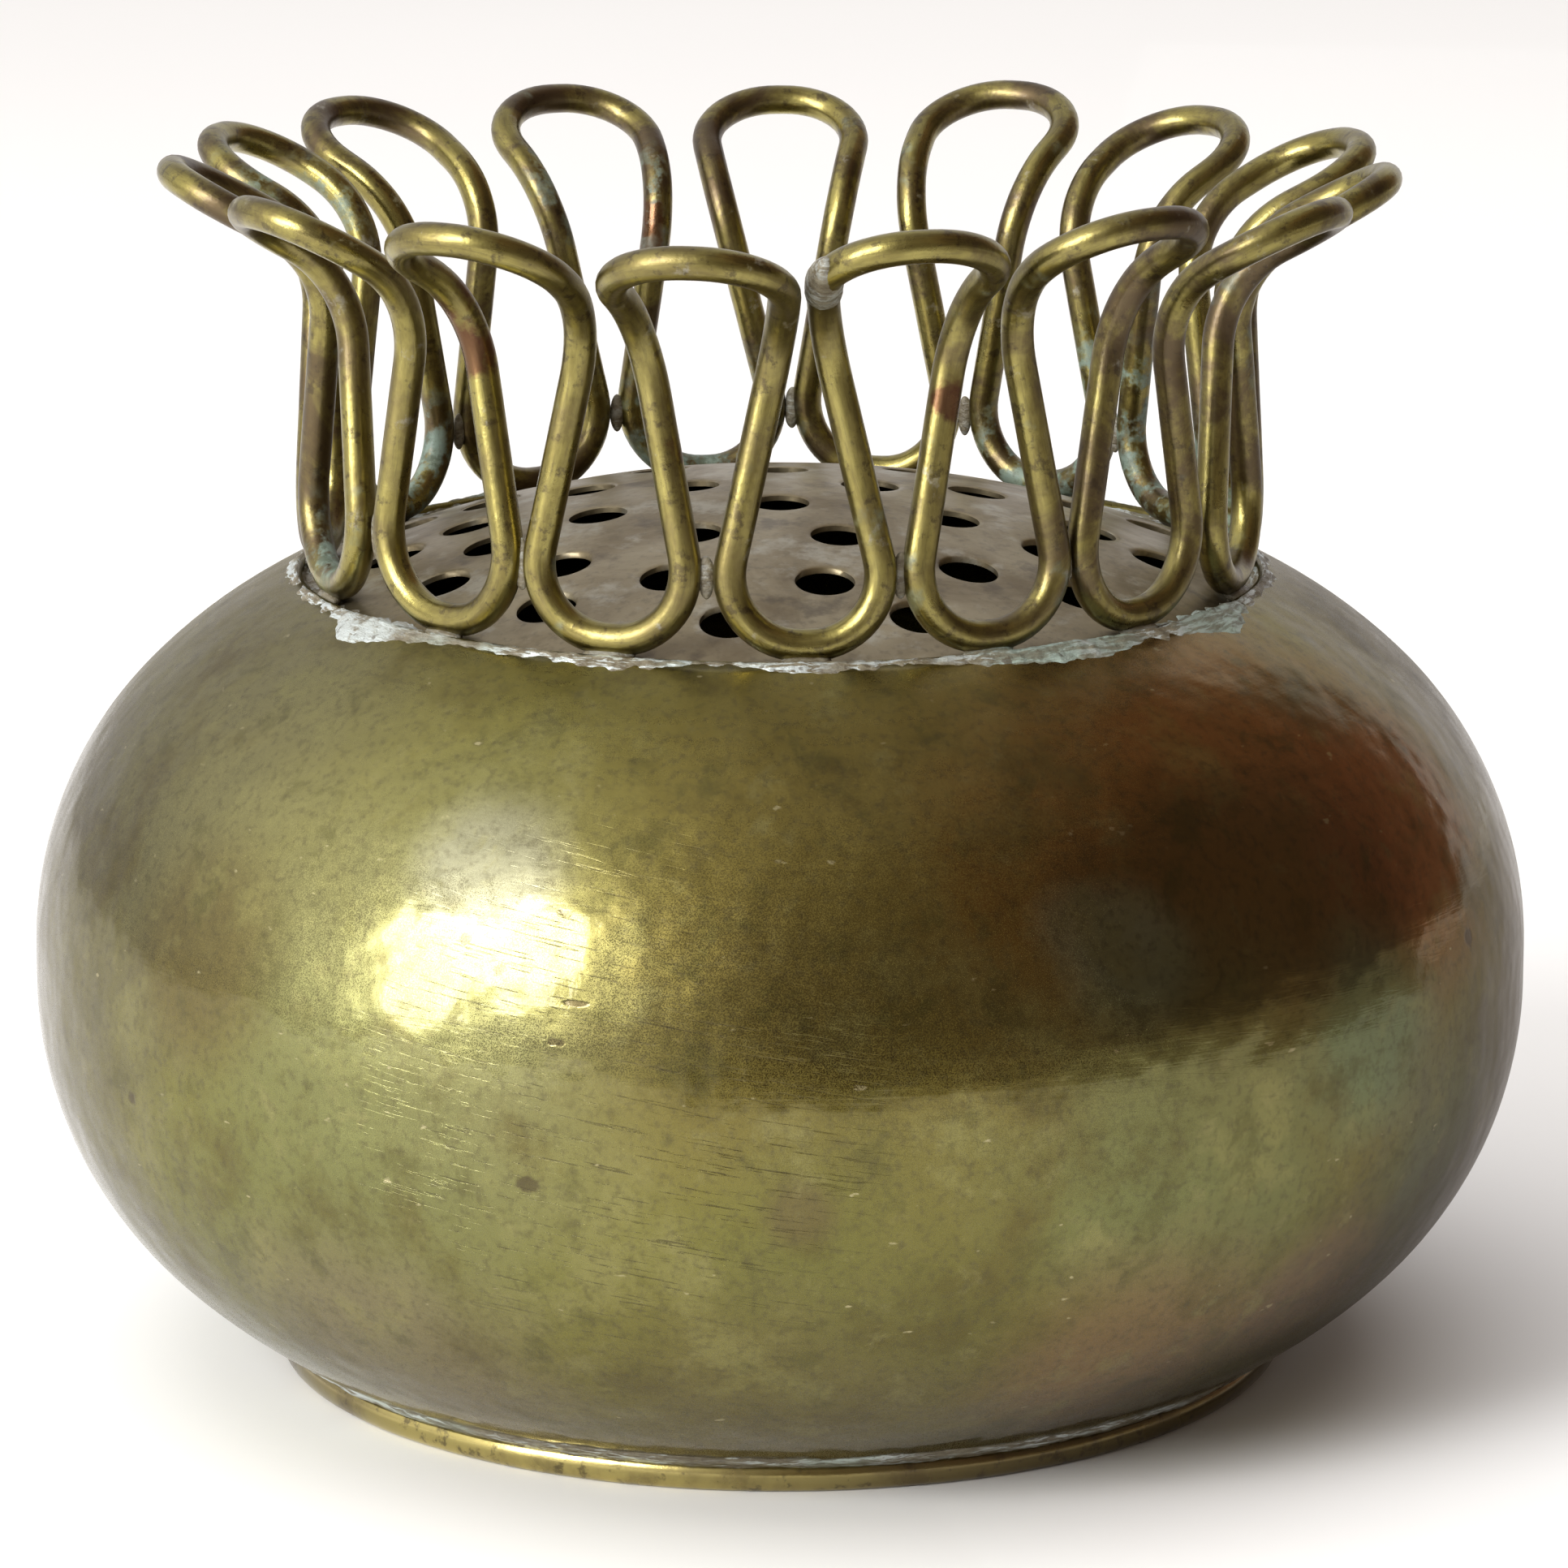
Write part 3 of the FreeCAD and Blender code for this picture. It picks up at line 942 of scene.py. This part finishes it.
def disc_brass():
    """Duller sheet brass, smeared by flux and water."""
    n = Nodes("disc_brass")
    smears = n.noise(55, 5, 0.6, distortion=0.8)
    stains = n.noise(150, 5, 0.62)
    dust = n.noise(900, 3, 0.6)
    base = n.mix(n.ramp(smears, 0.35, 0.68), color(0.290, 0.243, 0.150), color(0.165, 0.126, 0.068))
    base = n.mix(n.ramp(stains, 0.53, 0.68, 0.0, 0.70), base, color(0.40, 0.38, 0.31))
    base = n.mix(n.ramp(stains, 0.45, 0.32, 0.0, 0.65), base, color(0.075, 0.056, 0.034))
    base = n.mix(n.ramp(dust, 0.50, 0.72, 0.0, 0.4), base, color(0.10, 0.08, 0.05))
    rough = n.ramp(smears, 0.3, 0.7, 0.34, 0.52)
    normal = n.bump(n.noise(240, 4, 0.6), 0.00008)
    normal = n.bump(dust, 0.00003, 1.0, normal)
    return n.finish(base, rough, 0.85, normal, 0.15, 0.25)


# Places on the crown: centre (x, y, z) in mm and radius.
COPPER_PATCHES = [((-32.5, -37.5, 117.0), 3.6), ((-31.0, -38.5, 112.5), 3.0),
                  ((-33.5, -35.5, 107.5), 2.0), (polar(50, 350, 103), 2.2),
                  (polar(50, 20, 108), 1.8), (polar(47, 200, 112), 4.0), (polar(50, 48, 97), 2.4)]
VERDIGRIS_PATCHES = [
    (polar(48, 119, 90), 9.0), (polar(50, 256, 121), 9.0), (polar(48, 190, 88), 10.0),
    (polar(48, 239, 88), 10.0), (polar(48, 96, 88), 8.0), (polar(47, 143, 86), 9.0),
    (polar(48, 290, 90), 6.0), (polar(47, 204, 117), 7.0), (polar(48, 130, 96), 7.0),
]


def wire_tarnish(n, specks, tarnish, fine):
    """The brass colours of the wire, browner away from a cleaner stretch in front."""
    grain = n.add("ShaderNodeAttribute", attribute_name="grain").outputs["Vector"]
    streaks = n.noise(1, 4, 0.6, n.stretched((0.22, 1.3, 1.3), grain))
    drawn = n.noise(1, 3, 0.6, n.stretched((0.35, 7.0, 7.0), grain))
    clean = n.patch((-16, -50, 100), 44, 14, n.math("MULTIPLY_ADD", tarnish, 40.0, -20.0))
    foul = n.math("SUBTRACT", 1.0, n.math("MULTIPLY", clean, 0.6))
    brown = n.math("MULTIPLY", n.ramp(tarnish, 0.44, 0.62, 0.0, 0.90), foul)
    cloudy = n.math("MULTIPLY", n.ramp(fine, 0.52, 0.66, 0.0, 0.80), foul)
    base = n.mix(n.ramp(streaks, 0.35, 0.68), color(0.305, 0.260, 0.080), color(0.205, 0.168, 0.050))
    base = n.mix(brown, base, color(0.098, 0.066, 0.040))
    base = n.mix(cloudy, base, color(0.105, 0.076, 0.038))
    base = n.mix(n.ramp(drawn, 0.52, 0.70, 0.0, 0.35), base, color(0.10, 0.08, 0.04))
    base = n.mix(n.ramp(specks, 0.54, 0.66, 0.0, 0.65), base, color(0.060, 0.043, 0.028))
    return base, drawn


def verdigris(n, ragged):
    """A mask of green crust, thick at its listed places and thin elsewhere."""
    green = n.ramp(n.noise(130, 4, 0.6), 0.62, 0.72, 0.0, 0.45)
    crust = n.ramp(n.noise(320, 4, 0.65), 0.46, 0.58)
    for centre, radius in VERDIGRIS_PATCHES:
        spots = n.math("MULTIPLY", n.patch(centre, radius, 3.0, ragged), crust)
        green = n.math("MAXIMUM", green, spots)
    return green


def wire_brass():
    """Drawn brass rod with a satin wear shine, clouded and speckled with tarnish."""
    n = Nodes("wire_brass")
    specks = n.noise(560, 5, 0.68)
    tarnish = n.noise(70, 6, 0.68, distortion=0.6)
    fine = n.noise(190, 5, 0.64)
    ragged = n.math("MULTIPLY_ADD", fine, 9.0, -4.5)
    base, drawn = wire_tarnish(n, specks, tarnish, fine)
    chalk = n.ramp(n.noise(240, 5, 0.7), 0.62, 0.72, 0.0, 0.55)
    base = n.mix(chalk, base, color(0.30, 0.285, 0.235))
    copper = 0.0
    for centre, radius in COPPER_PATCHES:
        copper = n.math("MAXIMUM", copper, n.patch(centre, radius, 0.8, ragged))
    base = n.mix(n.math("MULTIPLY", copper, 0.85), base, color(0.105, 0.038, 0.022))
    green = verdigris(n, ragged)
    pale = n.ramp(specks, 0.40, 0.60)
    tint = n.mix(pale, color(0.075, 0.115, 0.090), color(0.20, 0.28, 0.24))
    base = n.mix(n.math("MULTIPLY", green, 0.8), base, tint)
    dull = n.math("MAXIMUM", green, chalk)
    metal = n.math("SUBTRACT", 1.0, n.math("MULTIPLY", dull, 0.7))
    rough = n.ramp(tarnish, 0.35, 0.70, 0.26, 0.44)
    rough = n.math("ADD", rough, n.math("MULTIPLY", green, 0.3))
    normal = n.bump(fine, 0.00010)
    normal = n.bump(specks, 0.00004, 1.0, normal)
    normal = n.bump(drawn, 0.000012, 1.0, normal)
    return n.finish(base, rough, metal, normal, 0.22, 0.20, 1.5)


def foot_brass():
    """The foot strip, with a painted highlight: its colour is much brighter at the front left, where
    the window light falls on it.
    """
    n = Nodes("foot_brass")
    tarnish = n.noise(95, 5, 0.6)
    specks = n.noise(500, 4, 0.65)
    # Painted highlight: a bright patch of base colour at the front left, where the windows light the
    # strip.
    wear_and_highlight = n.patch((-24, -48, 1), 26, 20, n.math("MULTIPLY_ADD", tarnish, 18.0, -9.0))
    base = n.mix(wear_and_highlight, color(0.17, 0.128, 0.050), color(0.46, 0.38, 0.13))
    base = n.mix(n.ramp(tarnish, 0.45, 0.65, 0.0, 0.7), base, color(0.13, 0.095, 0.040))
    base = n.mix(n.ramp(specks, 0.56, 0.68, 0.0, 0.7), base, color(0.07, 0.05, 0.028))
    rough = n.ramp(tarnish, 0.35, 0.75, 0.18, 0.36)
    normal = n.bump(n.noise(1, 3, 0.6, n.stretched((40, 40, 1500))), 0.00002)
    normal = n.bump(specks, 0.00003, 1.0, normal)
    return n.finish(base, rough, 1.0, normal, 0.35, 0.15, 1.6)


# Where the solder has gone green: centre in mm and radius.
SOLDER_BLOOMS = [
    (polar(52.5, 59, 82), 7.0), (polar(51.0, 40, 83), 3.0), (polar(51.0, 30, 83), 5.0),
    (polar(51.0, 215, 83), 7.0),
]


LEFT_SMEAR = (polar(52.5, -54, 82), 5.5)


def solder_grey(name, bright):
    """Old tin-lead solder, brown with age, its rubbed ridges and chalky bloom pale."""
    n = Nodes(name)
    around = n.around()
    streaks = n.noise(1, 5, 0.65, n.stretched((0.30, 1.5, 1.5), around), 0.4)
    lumps = n.noise(1, 4, 0.6, n.stretched((0.9, 1.6, 1.6), around))
    gaps = n.noise(1, 3, 0.6, n.stretched((0.11, 0.3, 0.3), around))
    base = n.mix(n.ramp(lumps, 0.35, 0.65), color(0.100, 0.080, 0.048), color(0.18, 0.158, 0.108))
    pale = n.math("MULTIPLY", n.ramp(streaks, 0.48, 0.56), n.ramp(gaps, 0.40, 0.52, 0.10, 1.0))
    left = n.patch(*LEFT_SMEAR, 1.6, n.math("MULTIPLY_ADD", lumps, 5.0, -2.5))
    left = n.math("MULTIPLY", left, n.ramp(n.noise(420, 4, 0.6), 0.58, 0.46, 0.10, 0.8))
    pale = n.math("MULTIPLY", n.math("MAXIMUM", pale, left), bright)
    base = n.mix(pale, base, color(0.54, 0.585, 0.575))
    green = n.ramp(n.noise(70, 3, 0.5), 0.56, 0.68, 0.0, 0.45 * bright)
    broken = n.ramp(streaks, 0.3, 0.6, 0.4, 1.0)
    for centre, radius in SOLDER_BLOOMS:
        bloom = n.patch(centre, radius, 3.0, n.math("MULTIPLY_ADD", lumps, 8.0, -4.0))
        green = n.math("MAXIMUM", green, n.math("MULTIPLY", bloom, broken))
    tint = n.mix(n.ramp(streaks, 0.40, 0.62), color(0.16, 0.19, 0.155), color(0.36, 0.46, 0.40))
    base = n.mix(n.math("MULTIPLY", green, 0.85), base, tint)
    pits = n.ramp(n.noise(700, 3, 0.6), 0.60, 0.70, 0.0, 0.7)
    base = n.mix(pits, base, color(0.07, 0.05, 0.03))
    metal = n.math("MULTIPLY", pale, 0.5)
    rough = n.ramp(streaks, 0.35, 0.7, 0.55, 0.33)
    normal = n.bump(lumps, 0.00025)
    normal = n.bump(n.noise(900, 4, 0.65), 0.00006, 1.0, normal)
    return n.finish(base, rough, metal, normal)


# ------------------------------------------------------------------ stage, light, camera

# The room's own radiance, then patches of it: direction, full inside, gone outside, tone.
ROOM_TONE = color(0.76, 0.74, 0.75)
ROOM_PATCHES = [
    (-72, 38, 5, 55, color(1.45, 1.42, 1.35)),
    (55, 32, 18, 82, color(0.27, 0.22, 0.17)),
    (88, 24, 47, 49, color(0.27, 0.165, 0.105)),
    (82, 22, 24, 46, color(0.120, 0.090, 0.075)),
    (20, 4, 2, 38, color(0.22, 0.18, 0.14)),
]
FLAG_DISTANCE = 0.45
FLAG_HEIGHT = 0.06
FLAG_SPAN = (-10, 105)
SHEET_SPAN = (15, 175)
SHEET_DARKEST = (110, 130)
SHEET_RADII = (0.056, 1.2)
SHEET_LIFT = 0.0004
FLOOR_HALF = 30.0
LIGHT_TARGET = Vector((0, 0, 0.06))


def mirror_card(name, points, faces, material):
    """A card that only the brass mirrors: it is not seen, and it casts no shade."""
    mesh = bpy.data.meshes.new(name)
    mesh.from_pydata(points, [], faces)
    mesh.materials.append(material)
    card = bpy.data.objects.new(name, mesh)
    card.visible_camera = False
    card.visible_diffuse = False
    card.visible_shadow = False
    bpy.context.scene.collection.objects.link(card)


def strip(inner, outer, span, step=5):
    """Points and faces between two curves, each given by a function of the angle."""
    points = []
    for angle in range(span[0], span[1] + 1, step):
        points += [inner(angle), outer(angle)]
    faces = [(i, i + 2, i + 3, i + 1) for i in range(0, len(points) - 2, 2)]
    return points, faces


def make_shade_cards():
    """Painted shade that only the brass mirrors: a low dark card in front and to the right for the
    unlit part of the room, and a grey sheet on the floor there for the shadow on the floor to the
    right and behind.
    """
    # Painted shade: a dark card that stands in for the unlit part of the room in the brass's
    # reflections.
    n = Nodes("painted_room_shade")
    tone = n.mix(n.noise(12, 2, 0.5), color(0.15, 0.12, 0.085), color(0.20, 0.16, 0.11))
    points, faces = strip(lambda angle: polar(FLAG_DISTANCE, angle, 0),
                          lambda angle: polar(FLAG_DISTANCE, angle, FLAG_HEIGHT), FLAG_SPAN)
    mirror_card("flag", points, faces, n.finish(tone, 0.9, 0.0))

    # Painted shadow: the floor to the right and behind as the brass mirrors it, darkest behind on
    # the right.
    n = Nodes("painted_floor_shadow")
    arc_length = n.add("ShaderNodeSeparateXYZ")
    n.plug(n.around(), arc_length.inputs["Vector"])
    turn = n.math("DIVIDE", arc_length.outputs["X"], RIM_RADIUS)
    fades = [n.ramp(turn, math.radians(end), math.radians(darkest))
             for end, darkest in zip(SHEET_SPAN, SHEET_DARKEST)]
    dim = n.math("MULTIPLY", *fades)
    tone = n.mix(dim, color(0.90, 0.90, 0.90), color(0.42, 0.40, 0.385))
    points, faces = strip(lambda angle: polar(SHEET_RADII[0], angle, SHEET_LIFT),
                          lambda angle: polar(SHEET_RADII[1], angle, SHEET_LIFT), SHEET_SPAN)
    mirror_card("sheet", points, faces, n.finish(tone, 0.9, 0.0))


def make_floor():
    """A pale floor that runs out past the view on every side."""
    n = Nodes("floor_paper")
    tone = n.mix(n.noise(3, 2, 0.5), color(0.90, 0.90, 0.90), color(0.93, 0.93, 0.93))
    material = n.finish(tone, 0.9, 0.0)
    mesh = bpy.data.meshes.new("floor")
    half = FLOOR_HALF
    mesh.from_pydata([(-half, -half, 0), (half, -half, 0), (half, half, 0), (-half, half, 0)],
                     [], [(0, 1, 2, 3)])
    mesh.materials.append(material)
    floor = bpy.data.objects.new("floor", mesh)
    bpy.context.scene.collection.objects.link(floor)


def direction(azimuth_deg, rise_deg):
    """A unit vector towards an angle from the front and a height above the floor."""
    rise = math.radians(rise_deg)
    return polar(math.cos(rise), azimuth_deg, math.sin(rise))


def make_room():
    """Soft light from all round, dim to the right of the camera and bright to its left."""
    world = bpy.data.worlds.new("room")
    bpy.context.scene.world = world
    world.use_nodes = True
    tree = world.node_tree
    coordinates = tree.nodes.new("ShaderNodeTexCoord")
    tone = ROOM_TONE
    for azimuth, rise, inner_deg, outer_deg, patch_tone in ROOM_PATCHES:
        dot = tree.nodes.new("ShaderNodeVectorMath")
        dot.operation = "DOT_PRODUCT"
        dot.inputs[1].default_value = direction(azimuth, rise)
        tree.links.new(coordinates.outputs["Generated"], dot.inputs[0])
        fade = tree.nodes.new("ShaderNodeMapRange")
        fade.interpolation_type = "SMOOTHSTEP"
        fade.inputs["From Min"].default_value = math.cos(math.radians(outer_deg))
        fade.inputs["From Max"].default_value = math.cos(math.radians(inner_deg))
        tree.links.new(dot.outputs["Value"], fade.inputs["Value"])
        mixed = tree.nodes.new("ShaderNodeMix")
        mixed.data_type = "RGBA"
        tree.links.new(fade.outputs["Result"], mixed.inputs["Factor"])
        if isinstance(tone, tuple):
            mixed.inputs["A"].default_value = tone
        else:
            tree.links.new(tone, mixed.inputs["A"])
        mixed.inputs["B"].default_value = patch_tone
        tone = mixed.outputs["Result"]
    tree.links.new(tone, tree.nodes["Background"].inputs["Color"])


def area_light(name, azimuth_deg, rise_deg, distance, size, radiance, glossy=True):
    """A rectangle that faces the object, its strength given as radiance."""
    data = bpy.data.lights.new(name, "AREA")
    data.shape = "RECTANGLE"
    data.size, data.size_y = size
    data.energy = radiance * math.pi * size[0] * size[1]
    light = bpy.data.objects.new(name, data)
    towards = direction(azimuth_deg, rise_deg)
    light.location = LIGHT_TARGET + towards * distance
    light.rotation_euler = towards.to_track_quat("Z", "Y").to_euler()
    light.visible_glossy = glossy
    bpy.context.scene.collection.objects.link(light)


def make_lights():
    area_light("window_left", -55, 19, 1.6, (0.40, 0.78), 15)
    area_light("window_right", -39, 28, 1.6, (0.36, 0.74), 15)
    area_light("window_top", -60, 47, 1.6, (0.60, 0.24), 1.5)
    area_light("ceiling", 0, 88, 2.4, (3.0, 3.0), 1.2, glossy=False)


def make_camera():
    data = bpy.data.cameras.new("camera")
    data.lens = CAMERA_LENS
    data.sensor_width = 36.0
    camera = bpy.data.objects.new("camera", data)
    rise = math.radians(CAMERA_RISE_DEG)
    back = Vector((0, -math.cos(rise), math.sin(rise)))
    camera.location = CAMERA_TARGET + back * CAMERA_DISTANCE
    camera.rotation_euler = (math.pi / 2 - rise, 0, 0)
    bpy.context.scene.collection.objects.link(camera)
    bpy.context.scene.camera = camera


def main():
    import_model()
    make_bowl(bowl_brass())
    make_foot_ring(foot_brass())
    make_disc(disc_brass())
    make_crown(wire_brass())
    make_solder(solder_grey("solder_run", 1.0), solder_grey("solder_drop", 0.20),
                solder_grey("solder_joint", 0.35))
    make_floor()
    make_shade_cards()
    make_room()
    make_lights()
    make_camera()
    bpy.context.scene.view_settings.view_transform = "Standard"


main()
